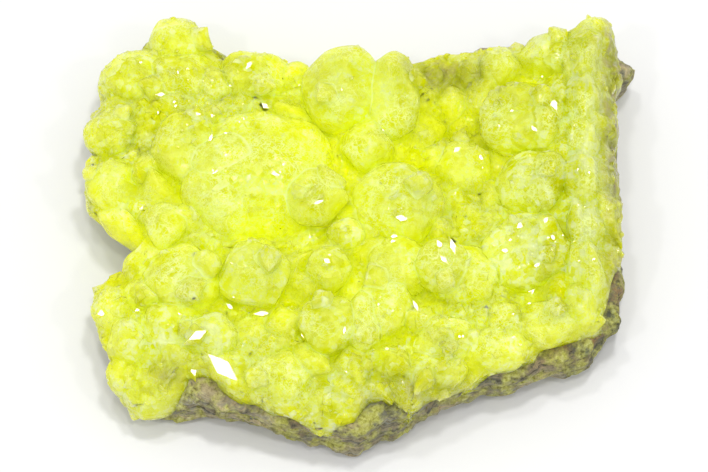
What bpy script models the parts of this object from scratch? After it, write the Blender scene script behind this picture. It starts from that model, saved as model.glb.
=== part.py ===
"""Native sulfur: a crust of crystals grown together on a broken slab of grey-brown host rock.

The specimen lies on the flat break under its rock. X runs along its length, Y from its front edge to its back, and Z
up, with the origin on the flat break. The crust grew on the rock's upper side and down over its edges, so it is a bed
with crystals joined to it, cut to the rock's surface. Each of the two is one solid.
"""

import math
import random

import bmesh
import bpy
from mathutils import Matrix, Vector, noise

MM = 0.001  # the tables below are in millimetres

# Driving dimensions: the host rock
ROCK_TOP = 10.5 * MM  # the bedding plane that the crust grew on, above the flat break
ROCK_SPARE = 4 * MM  # rock below the flat break, cut away at the end so that the break is flat to its rim
ROCK_ROUNDING = 1.5 * MM
ROCK_RELIEF = 1.4 * MM  # how far the broken faces wander in and out
ROCK_WEAR = 0.6 * MM  # worn back from its outline all round
ROCK_STEP = 11 * MM  # from one broken step to the next
ROCK_GRAIN = 3.2 * MM
GRAIN_SHARE = 0.45  # of the relief
LEDGE_LENGTH = 9 * MM
LEDGE_THINNESS = 5  # times thinner than long
LEDGE_SHARE = 0.8
ROCK_FACES = 1400

# Driving dimensions: the crust
CONTACT_GAP = 0.3 * MM  # between the crust and the rock
BED_LOW = 4.5 * MM  # where the crust ends on the sides of the rock
BED_TOP = 15.5 * MM  # the bed under the crystals, before its swells and hollows
BED_ROUNDING = 2.5 * MM
BED_RELIEF = 1.2 * MM
BED_GRAIN = 6 * MM
BED_FACES = 420
EVEN_MESH = 1.3 * MM  # the voxel size of both slabs before their relief
MERGED = 1.12  # how far the large crystals reach into their neighbours
BEARER_WIDTH = 5.5 * MM  # a large crystal with at least this half width carries a small one
SATELLITE_SHARE = (0.3, 0.45)  # a small crystal's radius as a share of its bearer's
FILLER_STEP = 7.6  # between the medium crystals that cover the rest of the bed
FILLER_ROWS = 6
FILLER_COLUMNS = 8
FILLER_SHIFT = 1.3
ROW_STEP = 0.87  # from row to row, as a share of the step
COVERED = 0.95  # of a large crystal's half width: nearer its middle no medium crystal grows
FILLER_INSET = 2.2  # how far inside the crust's outline they stay
FILLER_RADIUS = (3.6, 5.2)
FILLER_RISE = (0.6, 2.6)  # how far they stand out of the bed

BREAK_SEED = 5  # for the broken rock and the unevenness of the bed
GROWTH_SEED = 16  # for the crystals

# The rock's outline at the flat break, anticlockwise from the front left corner: x, y
ROCK_OUTLINE = (
    (-40, -34.5), (-34, -34), (-28, -33.2), (-21, -34.2), (-15.5, -36.5), (-9.5, -38), (-3, -40.5), (1, -41.5),
    (4.5, -39), (8, -37), (14.5, -33), (24, -29), (27, -29.2), (34.5, -25.5), (38, -26.2), (43, -24), (46, -19.5),
    (48.5, -17), (49.2, -10), (49, -2), (49, 6), (48.2, 14), (49, 20), (48.4, 27), (49, 31), (51.6, 32.3),
    (52.2, 35), (50, 36.8), (44, 36.5), (37, 37), (31, 39), (24, 38.5), (17, 34), (8, 30.5), (-8, 30), (-20, 31),
    (-27, 36), (-33, 39), (-38, 36), (-44, 31), (-46, 25), (-49.5, 23.5), (-48.5, 20), (-46, 14), (-46.5, 4),
    (-44.5, -2), (-44, -8), (-45.5, -14), (-44.5, -24), (-42, -30),
)

# The crust's outline over the rock, anticlockwise from the front left corner: x, y
CRUST_OUTLINE = (
    (-39.5, -34), (-34.5, -33), (-30, -29), (-26, -30), (-22.5, -33), (-19, -35), (-12, -36.5), (-7, -38.8),
    (-2.5, -38.5), (1, -38), (2.5, -35.5), (6, -34), (15, -32), (20.5, -30.5), (24, -29), (28, -27.8), (32, -25.5),
    (34, -24), (41, -22.7), (45.3, -21.5), (46.5, -12), (48.5, -8), (49, 2), (48.5, 12), (49, 20), (48.5, 30),
    (47, 37), (44, 40), (39, 38), (34, 36.5), (24, 35.5), (14, 33), (8, 32), (-2, 32), (-12, 31.5), (-22, 32),
    (-25, 34.5), (-28.5, 39), (-30, 42.5), (-35, 42.5), (-38, 39.5), (-42, 35.5), (-46.5, 32), (-46.5, 26),
    (-49, 22), (-48, 16), (-48.5, 6), (-47, -1), (-45, -5), (-47.5, -13), (-46.5, -22), (-44.5, -28),
)

# Swells and hollows of the bed: x, y, height, then how far it reaches along X and Y
SWELLS = (
    (43, 20, 5, 4.5, 26), (43.5, 38, 3, 5, 6), (-17, 9, 2.5, 12, 10), (-1, 25, 3, 9, 8), (8, 3, 2, 8, 8),
    (20, 22, -3.5, 7, 10), (23, 5, -1, 10, 10), (-50, 5, -6, 8, 40), (-36, 40, -4, 12, 9), (-8, -42, -5, 30, 6),
    (-45, -30, -4, 9, 9), (30, -30, -3, 20, 6),
)

# The large crystals: x, y, z of the middle, then half the width, depth and height
CRYSTALS = (
    # the broad lens left of the middle, and the bosses on it
    (-17, 9, 14, 15, 13, 9), (-7.5, 3.5, 18, 5.8, 5.5, 5), (-22, 10.5, 17, 8, 6, 6), (-30.5, 14.5, 15.5, 6, 7, 5.5),
    # round crystals in front of the lens
    (-18, -11, 16, 6.3, 6.3, 6), (-31, -11.5, 14.5, 7, 6.5, 6), (-35, -1, 15, 4.8, 4.5, 4.5),
    (-26.5, -10, 18.5, 2.8, 2.6, 2.6), (-1.5, -3.5, 17, 3.4, 3, 3.5), (-4.5, -10, 16.5, 4, 4, 4.5),
    (-4.5, -20.5, 15.5, 5.6, 5.4, 6), (1.5, -20, 15, 4, 5.5, 5.5), (5.5, -16.5, 14.5, 4.8, 6.6, 5.5),
    # the blocky crystals at the back and the round ones that run down from them
    (-2, 25.5, 18, 7.6, 8, 7), (7, 24, 17, 5, 8.5, 7.5), (2.5, 14, 17, 4.6, 4.6, 5), (8, 3, 16, 8, 7.8, 7.5),
    (15.5, -10, 18, 5, 5, 5), (8, -9.5, 15.5, 6, 5.5, 6), (19.5, -11, 14, 6.5, 6, 6.5),
    # the hollow right of the middle
    (20, 11.5, 13, 5, 6, 5.5), (18, 25, 10.5, 4, 4.5, 4.5), (14.5, 30.5, 11.5, 2.8, 3, 4.5),
    (21.5, 31.5, 11.5, 3, 3.5, 4.5), (27, 31.5, 13.5, 4, 4, 5),
    # blocks between the hollow and the ridge
    (31, 20, 16, 8, 7, 7), (32.5, 7.5, 15.5, 6.2, 6, 6), (31, -6, 14, 8, 7.5, 6.5),
    # the ridge along the right side, from the back corner to the front
    (43.3, 36.5, 15.5, 3.4, 3.6, 6.5), (37, 33.5, 14.5, 6, 4.5, 5.5), (41.8, 31, 16, 4, 7, 7.5),
    (42, 23, 15.5, 3.8, 7.5, 8), (42, 15, 15, 3.6, 7.5, 7.5), (41.8, 7, 14.5, 4, 7.5, 7.5), (42, -1, 14, 3.8, 7, 7.5),
    (41.8, -9, 13.5, 3.8, 7, 7), (40.5, -17, 13, 4, 5, 6),
    # the back edge and the horn at its left end
    (-18.5, 29.5, 13, 6.5, 6, 7), (-25.5, 27.5, 13.5, 4, 4, 4.5), (-11, 30, 12, 4, 3.5, 5),
    (-32, 37.5, 10.5, 6, 5.6, 6), (-39.5, 30.5, 10.5, 7, 6, 6), (-31.5, 29.5, 12, 7, 6, 6),
    # the left edge
    (-44.5, 19.5, 11, 5, 4.8, 5), (-44, 8.5, 11.5, 5, 5.5, 5), (-44.5, 0.5, 10.5, 4.6, 4.4, 4.6),
    (-40.5, -6.5, 12, 5.5, 4, 5), (-44, -15.5, 10.5, 4.2, 4.5, 4.8), (-41, -22, 11.5, 4.8, 4.6, 5),
    (-42.5, -27, 8.5, 3.4, 3.8, 4.2),
    # the front edge, left to right
    (-35, -29.5, 9, 7, 5, 5), (-32, -20, 13, 6.5, 6, 5), (-25.5, -22.5, 14.5, 5, 4.5, 4.5),
    (-24, -28, 12, 6.5, 4, 4.5), (-18.5, -21, 12.5, 4.5, 4, 4), (-13, -29.5, 12.5, 5.6, 5.2, 5.5),
    (-3.5, -33.5, 10.5, 6.5, 4.5, 4.5), (14, -28, 12, 6.5, 4.2, 5), (16, -23, 13.5, 6, 5, 5),
    (25, -24.5, 12.5, 6.5, 4.3, 5), (34.5, -20, 13, 7, 4.3, 5),
)

# Facets of one orthorhombic sulfur crystal: the face's indices, and how far out it lies as a share of the radius
AXIS_LENGTHS = (0.813, 1.0, 1.903)
HABIT = (
    ((1, 1, 1), 0.86), ((1, 1, 3), 0.88), ((0, 1, 1), 0.92), ((1, 0, 1), 0.93), ((0, 0, 1), 0.93), ((0, 1, 0), 0.96),
)
SMALL_HABIT = (((1, 1, 1), 0.86), ((1, 1, 3), 0.88), ((0, 0, 1), 0.93))
GROWTH_SPREAD = 0.07  # how unevenly the faces of one crystal grew
TILT = 1.2  # radians that a crystal's long axis may lean
ROUGH_BLOCK = 2.4  # across, in radii, before its faces are cut
SHORTEST_EDGE = 0.02  # of the radius; shorter edges are merged
WELD = 1e-6
SATELLITE_HEIGHT = (0.4, 0.95)  # over its bearer's middle, as a share of the radius
SUNK = 0.9  # a small crystal's middle lies this far out in its bearer


def new_object(name, mesh, collection):
    """A named object for a mesh, in a collection."""
    made = bpy.data.objects.new(name, mesh)
    collection.objects.link(made)
    return made


def apply_modifiers(obj):
    """The object as its modifiers leave it, a mesh with no loose caps, placed in its own mesh."""
    graph = bpy.context.evaluated_depsgraph_get()
    mesh = bpy.data.meshes.new_from_object(obj.evaluated_get(graph))
    mesh.transform(obj.matrix_world)
    name = obj.name
    collection = obj.users_collection[0]
    bpy.data.objects.remove(obj)
    welded = bmesh.new()
    welded.from_mesh(mesh)
    bmesh.ops.remove_doubles(welded, verts=welded.verts, dist=WELD)
    welded.to_mesh(mesh)
    welded.free()
    return new_object(name, mesh, collection)


def outline_slab(name, outline, low, high, rounding, collection):
    """A slab with this outline between two heights, its upper and lower edges rounded."""
    curve = bpy.data.curves.new(name, "CURVE")
    curve.dimensions = "2D"
    curve.fill_mode = "BOTH"
    spline = curve.splines.new("POLY")
    spline.points.add(len(outline) - 1)
    for point, (x, y) in zip(spline.points, outline):
        point.co = (x * MM, y * MM, 0, 1)
    spline.use_cyclic_u = True
    curve.bevel_depth = rounding
    curve.bevel_resolution = 2
    curve.offset = -rounding
    curve.extrude = (high - low) / 2 - rounding
    slab = new_object(name, curve, collection)
    slab.location.z = (high + low) / 2
    bpy.context.view_layer.update()
    return apply_modifiers(slab)


def roughen(slab, relief, faces):
    """Remeshes a slab evenly, moves each vertex by relief(place), and reduces it to flat broken facets."""
    remesh = slab.modifiers.new("even_mesh", "REMESH")
    remesh.mode = "VOXEL"
    remesh.voxel_size = EVEN_MESH
    slab = apply_modifiers(slab)
    for vertex in slab.data.vertices:
        vertex.co += relief(vertex.co)
    reduce = slab.modifiers.new("flat_facets", "DECIMATE")
    slab.data.calc_loop_triangles()
    reduce.ratio = faces / len(slab.data.loop_triangles)
    return apply_modifiers(slab)


def rock_relief(place):
    """Broken rock: wide steps with a finer grain on them, and thin ledges along the bedding."""
    steps = noise.noise_vector(place / ROCK_STEP) * ROCK_RELIEF
    grain = noise.noise_vector(place / ROCK_GRAIN) * ROCK_RELIEF * GRAIN_SHARE
    along_bedding = Vector((place.x, place.y, place.z * LEDGE_THINNESS)) / LEDGE_LENGTH
    ledge = noise.noise(along_bedding) * ROCK_RELIEF * LEDGE_SHARE
    outward = Vector((place.x, place.y, 0)).normalized()
    return steps + grain + outward * (ledge - ROCK_WEAR)


def swell_height(x, y):
    """How much the swells and hollows raise the bed at a place, all in millimetres: a sum of bell shapes."""
    total = 0.0
    for middle_x, middle_y, height, reach_x, reach_y in SWELLS:
        total += height * math.exp(-(((x - middle_x) / reach_x) ** 2) - ((y - middle_y) / reach_y) ** 2)
    return total


def bed_relief(place):
    """The bed's swells and hollows, which fade out down its sides, and a finer unevenness."""
    moved = noise.noise_vector(place / BED_GRAIN) * BED_RELIEF
    upper = min(1.0, max(0.0, (place.z - ROCK_TOP) / (BED_TOP - ROCK_TOP)))
    moved.z += swell_height(place.x / MM, place.y / MM) * MM * upper
    return moved


def cut_flat(obj, place, normal):
    """Cuts away what lies beyond a plane and closes the cut with one flat face."""
    cut = bmesh.new()
    cut.from_mesh(obj.data)
    whole = cut.verts[:] + cut.edges[:] + cut.faces[:]
    made = bmesh.ops.bisect_plane(cut, geom=whole, plane_co=place, plane_no=normal, clear_outer=True)
    rim = [item for item in made["geom_cut"] if isinstance(item, bmesh.types.BMEdge)]
    bmesh.ops.edgenet_fill(cut, edges=rim)
    bmesh.ops.recalc_face_normals(cut, faces=cut.faces)
    cut.to_mesh(obj.data)
    cut.free()


def facet_directions(habit):
    """Every face of a habit as (outward direction, reach): each sign of each index once, in a fixed order."""
    faces = {}
    for indices, reach in habit:
        for x_sign in (1, -1):
            for y_sign in (1, -1):
                for z_sign in (1, -1):
                    signed = (indices[0] * x_sign, indices[1] * y_sign, indices[2] * z_sign)
                    normal = Vector(index / length for index, length in zip(signed, AXIS_LENGTHS))
                    faces[signed] = (normal.normalized(), reach)
    return list(faces.values())


def grown_facets(habit, chance):
    """The faces of one crystal turned at random and unevenly grown, as (outward direction, distance)."""
    turn = Matrix.Rotation(chance.uniform(0, math.tau), 3, "Z") @ Matrix.Rotation(chance.uniform(0, TILT), 3, "X")
    grown = []
    for direction, reach in facet_directions(habit):
        grown.append((turn @ direction, reach * (1 + chance.uniform(-GROWTH_SPREAD, GROWTH_SPREAD))))
    return grown


def crystal(name, habit, middle, half_size, chance, collection):
    """One crystal: a block cut back to the crystal's faces, then stretched to its size."""
    block = bmesh.new()
    bmesh.ops.create_cube(block, size=ROUGH_BLOCK)
    for direction, distance in grown_facets(habit, chance):
        whole = block.verts[:] + block.edges[:] + block.faces[:]
        made = bmesh.ops.bisect_plane(
            block, geom=whole, plane_co=direction * distance, plane_no=direction, clear_outer=True
        )
        rim = [item for item in made["geom_cut"] if isinstance(item, bmesh.types.BMEdge)]
        if rim:
            bmesh.ops.contextual_create(block, geom=rim)
    bmesh.ops.remove_doubles(block, verts=block.verts, dist=SHORTEST_EDGE)
    bmesh.ops.recalc_face_normals(block, faces=block.faces)
    mesh = bpy.data.meshes.new(name)
    block.to_mesh(mesh)
    block.free()
    mesh.transform(Matrix.Translation(middle) @ Matrix.Diagonal((*half_size, 1)))
    return new_object(name, mesh, collection)


def satellite_place(middle, half_size, chance):
    """Where a small crystal sits on a large one: a random spot on its upper half, a little sunk in."""
    around = chance.uniform(0, math.tau)
    up = chance.uniform(*SATELLITE_HEIGHT)
    level = math.sqrt(1 - up * up)
    spot = Vector((level * math.cos(around), level * math.sin(around), up)) * SUNK
    return middle + Vector(share * half for share, half in zip(spot, half_size))


def inside_outline(x, y, outline):
    """Whether a place is inside an outline: a line to its right crosses the outline an odd number of times."""
    inside = False
    for (x1, y1), (x2, y2) in zip(outline, outline[1:] + outline[:1]):
        if (y1 > y) != (y2 > y) and x < x1 + (y - y1) / (y2 - y1) * (x2 - x1):
            inside = not inside
    return inside


def covered(x, y):
    """Whether a large crystal already covers a place."""
    return any(math.hypot((x - row[0]) / row[3], (y - row[1]) / row[4]) < COVERED for row in CRYSTALS)


def filler_places(chance):
    """Middles of the medium crystals: a grid with every second row shifted and each place moved a little."""
    places = []
    for row in range(-FILLER_ROWS, FILLER_ROWS + 1):
        for column in range(-FILLER_COLUMNS, FILLER_COLUMNS + 1):
            x = (column + 0.5 * (row % 2)) * FILLER_STEP + chance.uniform(-FILLER_SHIFT, FILLER_SHIFT)
            y = row * FILLER_STEP * ROW_STEP + chance.uniform(-FILLER_SHIFT, FILLER_SHIFT)
            around = [(x + FILLER_INSET * side, y + FILLER_INSET * end) for side in (-1, 1) for end in (-1, 1)]
            if all(inside_outline(*place, CRUST_OUTLINE) for place in around) and not covered(x, y):
                places.append((x, y))
    return places


def grow_large_crystals(chance, collection):
    """The large crystals, and a small one on each of the wider ones."""
    for number, row in enumerate(CRYSTALS):
        middle = Vector(row[:3]) * MM
        half_size = Vector((row[3] * MERGED, row[4] * MERGED, row[5])) * MM
        crystal(f"crystal_{number}", HABIT, middle, half_size, chance, collection)
        if half_size.x >= BEARER_WIDTH:
            radius = min(half_size) * chance.uniform(*SATELLITE_SHARE)
            place = satellite_place(middle, half_size, chance)
            crystal(f"satellite_{number}", SMALL_HABIT, place, (radius, radius, radius), chance, collection)


def grow_fillers(chance, collection):
    """The medium crystals, which stand a little way out of the bed between the large ones."""
    for number, (x, y) in enumerate(filler_places(chance)):
        radius = chance.uniform(*FILLER_RADIUS) * MM
        bed = BED_TOP + swell_height(x, y) * MM
        middle = Vector((x * MM, y * MM, bed + chance.uniform(*FILLER_RISE) * MM - radius))
        crystal(f"filler_{number}", SMALL_HABIT, middle, (radius, radius, radius), chance, collection)


def boolean(obj, operation, **operand):
    """The object after one Boolean with an object or a collection."""
    cut = obj.modifiers.new(operation.lower(), "BOOLEAN")
    cut.operation = operation
    for key, value in operand.items():
        setattr(cut, key, value)
    return apply_modifiers(obj)


def largest_island(body):
    """The vertices of a mesh's largest connected piece."""
    left = set(body.verts)
    largest = []
    while left:
        island = [left.pop()]
        for vertex in island:
            near = {edge.other_vert(vertex) for edge in vertex.link_edges} & left
            left -= near
            island.extend(near)
        largest = max(largest, island, key=len)
    return set(largest)


def drop_crumbs(obj):
    """Deletes the loose crumbs that a cut leaves, and keeps the largest connected piece."""
    body = bmesh.new()
    body.from_mesh(obj.data)
    kept = largest_island(body)
    bmesh.ops.delete(body, geom=[vertex for vertex in body.verts if vertex not in kept], context="VERTS")
    body.to_mesh(obj.data)
    body.free()


def material(name, colour, roughness):
    """A Principled material of one colour."""
    made = bpy.data.materials.new(name)
    made.use_nodes = True
    shader = made.node_tree.nodes["Principled BSDF"]
    shader.inputs["Base Color"].default_value = (*colour, 1)
    shader.inputs["Roughness"].default_value = roughness
    shader.inputs["Metallic"].default_value = 0.0
    return made


def paint(obj, finish):
    """Gives an object one material in place of any it has."""
    obj.data.materials.clear()
    obj.data.materials.append(finish)


def matrix_rock(parts):
    """The broken slab of host rock, cut flat underneath."""
    rock = outline_slab("matrix_rock", ROCK_OUTLINE, -ROCK_SPARE, ROCK_TOP, ROCK_ROUNDING, parts)
    rock = roughen(rock, rock_relief, ROCK_FACES)
    cut_flat(rock, Vector((0, 0, 0)), Vector((0, 0, -1)))
    paint(rock, material("matrix_rock", (0.22, 0.20, 0.12), 0.9))
    return rock


def sulfur_crystals(rock, parts, helpers):
    """The crust: its bed joined with every crystal, less the rock and the gap round it."""
    crust = outline_slab("sulfur_crystals", CRUST_OUTLINE, BED_LOW, BED_TOP, BED_ROUNDING, parts)
    crust = roughen(crust, bed_relief, BED_FACES)
    chance = random.Random(GROWTH_SEED)
    grow_large_crystals(chance, helpers)
    grow_fillers(chance, helpers)
    crust = boolean(crust, "UNION", operand_type="COLLECTION", collection=helpers)
    cutter = new_object("rock_cutter", rock.data.copy(), helpers)
    swell = cutter.modifiers.new("contact_gap", "DISPLACE")
    swell.strength = CONTACT_GAP
    swell.mid_level = 0.0
    crust = boolean(crust, "DIFFERENCE", object=cutter)
    drop_crumbs(crust)
    paint(crust, material("sulfur", (0.75, 0.85, 0.06), 0.25))
    return crust


def main():
    for old in list(bpy.data.objects):
        bpy.data.objects.remove(old)
    noise.seed_set(BREAK_SEED)
    parts = bpy.data.collections.new("sulfur_specimen")
    helpers = bpy.data.collections.new("helpers")
    for collection in (parts, helpers):
        bpy.context.scene.collection.children.link(collection)
    rock = matrix_rock(parts)
    sulfur_crystals(rock, parts, helpers)
    for helper in helpers.objects:
        helper.hide_render = True
        helper.display_type = "WIRE"


main()
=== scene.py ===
"""The native sulfur specimen's finish: crystal crust, host rock, floor, light and camera."""

import itertools
import math
import random
from functools import partial

import bpy
import numpy as np
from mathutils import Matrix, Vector


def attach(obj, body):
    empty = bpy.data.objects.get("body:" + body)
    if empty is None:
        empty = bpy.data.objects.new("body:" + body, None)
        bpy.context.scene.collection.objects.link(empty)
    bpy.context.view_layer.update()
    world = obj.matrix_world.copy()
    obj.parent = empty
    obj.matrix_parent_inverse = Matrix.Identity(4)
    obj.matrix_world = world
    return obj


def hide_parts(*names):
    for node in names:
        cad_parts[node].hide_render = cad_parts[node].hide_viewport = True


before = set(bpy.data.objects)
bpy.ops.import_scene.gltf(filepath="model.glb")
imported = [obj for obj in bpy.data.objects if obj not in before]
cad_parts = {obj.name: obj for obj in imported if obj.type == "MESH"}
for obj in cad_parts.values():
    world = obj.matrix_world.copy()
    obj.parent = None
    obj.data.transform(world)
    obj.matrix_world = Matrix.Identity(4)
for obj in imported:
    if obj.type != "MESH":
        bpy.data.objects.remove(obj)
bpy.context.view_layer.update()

MM = 0.001  # every table and size below is in millimetres

# The same design as the solids: first the heights of the rock and of the crust's bed, then its crystals
ROCK_TOP = 10.5
BED_LOW = 4.5
BED_TOP = 15.5
BED_ROUNDING = 2.5
MERGED = 1.12  # how much wider the large ones are made, so that they meet
BEARER_WIDTH = 5.5  # half width from which a large one bears a satellite
SATELLITE_SHARE = (0.3, 0.45)
SATELLITE_HEIGHT = (0.4, 0.95)
SUNK = 0.9  # how far out on its bearer a satellite's middle lies
FILLER_STEP = 7.6
ROW_STEP = 0.87
FILLER_ROWS = 6
FILLER_COLUMNS = 8
FILLER_SHIFT = 1.3
FILLER_INSET = 2.2
FILLER_RADIUS = (3.6, 5.2)
FILLER_RISE = (0.6, 2.6)
COVERED = 0.95  # a medium crystal stays this far out of a large one
GROWTH_SEED = 16

# The rock's outline at its flat break, anticlockwise from the front left corner: x, y
ROCK_OUTLINE = (
    (-40, -34.5), (-34, -34), (-28, -33.2), (-21, -34.2), (-15.5, -36.5), (-9.5, -38), (-3, -40.5),
    (1, -41.5), (4.5, -39), (8, -37), (14.5, -33), (24, -29), (27, -29.2), (34.5, -25.5), (38, -26.2),
    (43, -24), (46, -19.5), (48.5, -17), (49.2, -10), (49, -2), (49, 6), (48.2, 14), (49, 20), (48.4, 27),
    (49, 31), (51.6, 32.3), (52.2, 35), (50, 36.8), (44, 36.5), (37, 37), (31, 39), (24, 38.5), (17, 34),
    (8, 30.5), (-8, 30), (-20, 31), (-27, 36), (-33, 39), (-38, 36), (-44, 31), (-46, 25), (-49.5, 23.5),
    (-48.5, 20), (-46, 14), (-46.5, 4), (-44.5, -2), (-44, -8), (-45.5, -14), (-44.5, -24), (-42, -30),
)

# The crust's outline over the rock, anticlockwise from the front left corner: x, y
CRUST_OUTLINE = (
    (-39.5, -34), (-34.5, -33), (-30, -29), (-26, -30), (-22.5, -33), (-19, -35), (-12, -36.5),
    (-7, -38.8), (-2.5, -38.5), (1, -38), (2.5, -35.5), (6, -34), (15, -32), (20.5, -30.5), (24, -29),
    (28, -27.8), (32, -25.5), (34, -24), (41, -22.7), (45.3, -21.5), (46.5, -12), (48.5, -8), (49, 2),
    (48.5, 12), (49, 20), (48.5, 30), (47, 37), (44, 40), (39, 38), (34, 36.5), (24, 35.5), (14, 33),
    (8, 32), (-2, 32), (-12, 31.5), (-22, 32), (-25, 34.5), (-28.5, 39), (-30, 42.5), (-35, 42.5),
    (-38, 39.5), (-42, 35.5), (-46.5, 32), (-46.5, 26), (-49, 22), (-48, 16), (-48.5, 6), (-47, -1),
    (-45, -5), (-47.5, -13), (-46.5, -22), (-44.5, -28),
)

# Swells and hollows of the bed: x, y, height, then how far it reaches along X and Y
SWELLS = (
    (43, 20, 5, 4.5, 26), (43.5, 38, 3, 5, 6), (-17, 9, 2.5, 12, 10), (-1, 25, 3, 9, 8), (8, 3, 2, 8, 8),
    (20, 22, -3.5, 7, 10), (23, 5, -1, 10, 10), (-50, 5, -6, 8, 40), (-36, 40, -4, 12, 9),
    (-8, -42, -5, 30, 6), (-45, -30, -4, 9, 9), (30, -30, -3, 20, 6),
)

# The large crystals: x, y, z of the middle, then half the width, depth and height
CRYSTALS = (
    # the broad lens left of the middle, and the bosses on it
    (-17, 9, 14, 15, 13, 9), (-7.5, 3.5, 18, 5.8, 5.5, 5), (-22, 10.5, 17, 8, 6, 6),
    (-30.5, 14.5, 15.5, 6, 7, 5.5),
    # round crystals in front of the lens
    (-18, -11, 16, 6.3, 6.3, 6), (-31, -11.5, 14.5, 7, 6.5, 6), (-35, -1, 15, 4.8, 4.5, 4.5),
    (-26.5, -10, 18.5, 2.8, 2.6, 2.6), (-1.5, -3.5, 17, 3.4, 3, 3.5), (-4.5, -10, 16.5, 4, 4, 4.5),
    (-4.5, -20.5, 15.5, 5.6, 5.4, 6), (1.5, -20, 15, 4, 5.5, 5.5), (5.5, -16.5, 14.5, 4.8, 6.6, 5.5),
    # the blocky crystals at the back and the round ones that run down from them
    (-2, 25.5, 18, 7.6, 8, 7), (7, 24, 17, 5, 8.5, 7.5), (2.5, 14, 17, 4.6, 4.6, 5),
    (8, 3, 16, 8, 7.8, 7.5), (15.5, -10, 18, 5, 5, 5), (8, -9.5, 15.5, 6, 5.5, 6),
    (19.5, -11, 14, 6.5, 6, 6.5),
    # the hollow right of the middle
    (20, 11.5, 13, 5, 6, 5.5), (18, 25, 10.5, 4, 4.5, 4.5), (14.5, 30.5, 11.5, 2.8, 3, 4.5),
    (21.5, 31.5, 11.5, 3, 3.5, 4.5), (27, 31.5, 13.5, 4, 4, 5),
    # blocks between the hollow and the ridge
    (31, 20, 16, 8, 7, 7), (32.5, 7.5, 15.5, 6.2, 6, 6), (31, -6, 14, 8, 7.5, 6.5),
    # the ridge along the right side, from the back corner to the front
    (43.3, 36.5, 15.5, 3.4, 3.6, 6.5), (37, 33.5, 14.5, 6, 4.5, 5.5), (41.8, 31, 16, 4, 7, 7.5),
    (42, 23, 15.5, 3.8, 7.5, 8), (42, 15, 15, 3.6, 7.5, 7.5), (41.8, 7, 14.5, 4, 7.5, 7.5),
    (42, -1, 14, 3.8, 7, 7.5), (41.8, -9, 13.5, 3.8, 7, 7), (40.5, -17, 13, 4, 5, 6),
    # the back edge and the horn at its left end
    (-18.5, 29.5, 13, 6.5, 6, 7), (-25.5, 27.5, 13.5, 4, 4, 4.5), (-11, 30, 12, 4, 3.5, 5),
    (-32, 37.5, 10.5, 6, 5.6, 6), (-39.5, 30.5, 10.5, 7, 6, 6), (-31.5, 29.5, 12, 7, 6, 6),
    # the left edge
    (-44.5, 19.5, 11, 5, 4.8, 5), (-44, 8.5, 11.5, 5, 5.5, 5), (-44.5, 0.5, 10.5, 4.6, 4.4, 4.6),
    (-40.5, -6.5, 12, 5.5, 4, 5), (-44, -15.5, 10.5, 4.2, 4.5, 4.8), (-41, -22, 11.5, 4.8, 4.6, 5),
    (-42.5, -27, 8.5, 3.4, 3.8, 4.2),
    # the front edge, left to right
    (-35, -29.5, 9, 7, 5, 5), (-32, -20, 13, 6.5, 6, 5), (-25.5, -22.5, 14.5, 5, 4.5, 4.5),
    (-24, -28, 12, 6.5, 4, 4.5), (-18.5, -21, 12.5, 4.5, 4, 4), (-13, -29.5, 12.5, 5.6, 5.2, 5.5),
    (-3.5, -33.5, 10.5, 6.5, 4.5, 4.5), (14, -28, 12, 6.5, 4.2, 5), (16, -23, 13.5, 6, 5, 5),
    (25, -24.5, 12.5, 6.5, 4.3, 5), (34.5, -20, 13, 7, 4.3, 5),
)

# Facets of one orthorhombic sulfur crystal: the face's indices, and how far out it lies as a share of the
# radius
AXIS_LENGTHS = (0.813, 1.0, 1.903)
HABIT = (
    ((1, 1, 1), 0.86), ((1, 1, 3), 0.88), ((0, 1, 1), 0.92), ((1, 0, 1), 0.93), ((0, 0, 1), 0.93),
    ((0, 1, 0), 0.96),
)
SMALL_HABIT = (((1, 1, 1), 0.86), ((1, 1, 3), 0.88), ((0, 0, 1), 0.93))
GROWTH_SPREAD = 0.07
TILT = 1.2  # the most that a crystal leans, in radians

# How finely the surfaces are drawn
CRYSTAL_MESH = 0.75
ROCK_MESH = 0.6
BED_MESH = 1.2
BED_WALL_STEP = 1.1
BED_ROUGHNESS = (6, 1.1)  # size and height of the bed's bumps
MOST_TRIANGLES = 190_000  # of one piece

# How sharp the edges are: the power in the crystals' formula
SHARP_LARGE = 20
SHARP_SATELLITE = 45
SHARP_FILLER = 60

# The crust's own relief: (size of the bumps, height, how much of it clean crystal faces keep)
CRUST_RELIEF = ((2.6, 0.3, 0.35), (1.2, 0.16, 0.2))
# The ridge's stripes: their size along X, Y and Z, seed, and share of the stripe height
STRIPES = (((0.9, 14, 3), 61, 1), ((0.4, 9, 2), 62, 0.5))
STRIPE_HEIGHT = 0.16
RIDGE_SMOOTH = 0.8  # how much of the other relief the ridge loses
CREASE = {"crust": 18, "rock": 35}  # edges that turn by more degrees stay sharp

# Where small crystals crowd the crust: x, y, how far round it, and how densely
SUGARY = (
    (-34, 30, 9, 1.0), (-44, 20, 8, 0.9), (-20, 28, 7, 0.6), (-27, 20, 6, 0.8), (31, -2, 9, 0.9),
    (22, 18, 8, 0.6), (20, 30, 7, 0.7), (-42, -12, 7, 0.7), (-12, -30, 12, 0.7), (10, -26, 10, 0.8),
    (28, -20, 10, 0.7), (-36, -26, 8, 0.7), (37, 30, 8, 0.5), (47, 10, 5, 0.9), (47, -8, 5, 0.9),
    (-4, -6, 5, 0.5), (30, 10, 6, 0.4),
)
CROWDING = (1.0, 0.6, 0.25)  # on the bed, on the medium crystals and on the large ones
SMALL_COUNT = 3000
SMALL_RADIUS = (0.55, 2.3)
SMALL_SUNK = 0.62  # how much of its radius the middle of a small crystal lies below the surface
SMALL_LEAN = (1.3, 0.6)  # weights of the surface's own direction and of a random one
SMALL_STRETCH = (-0.25, 0.35)
SMALL_REACH = (4, 4)  # how far round the hollows that draw them are measured
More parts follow.
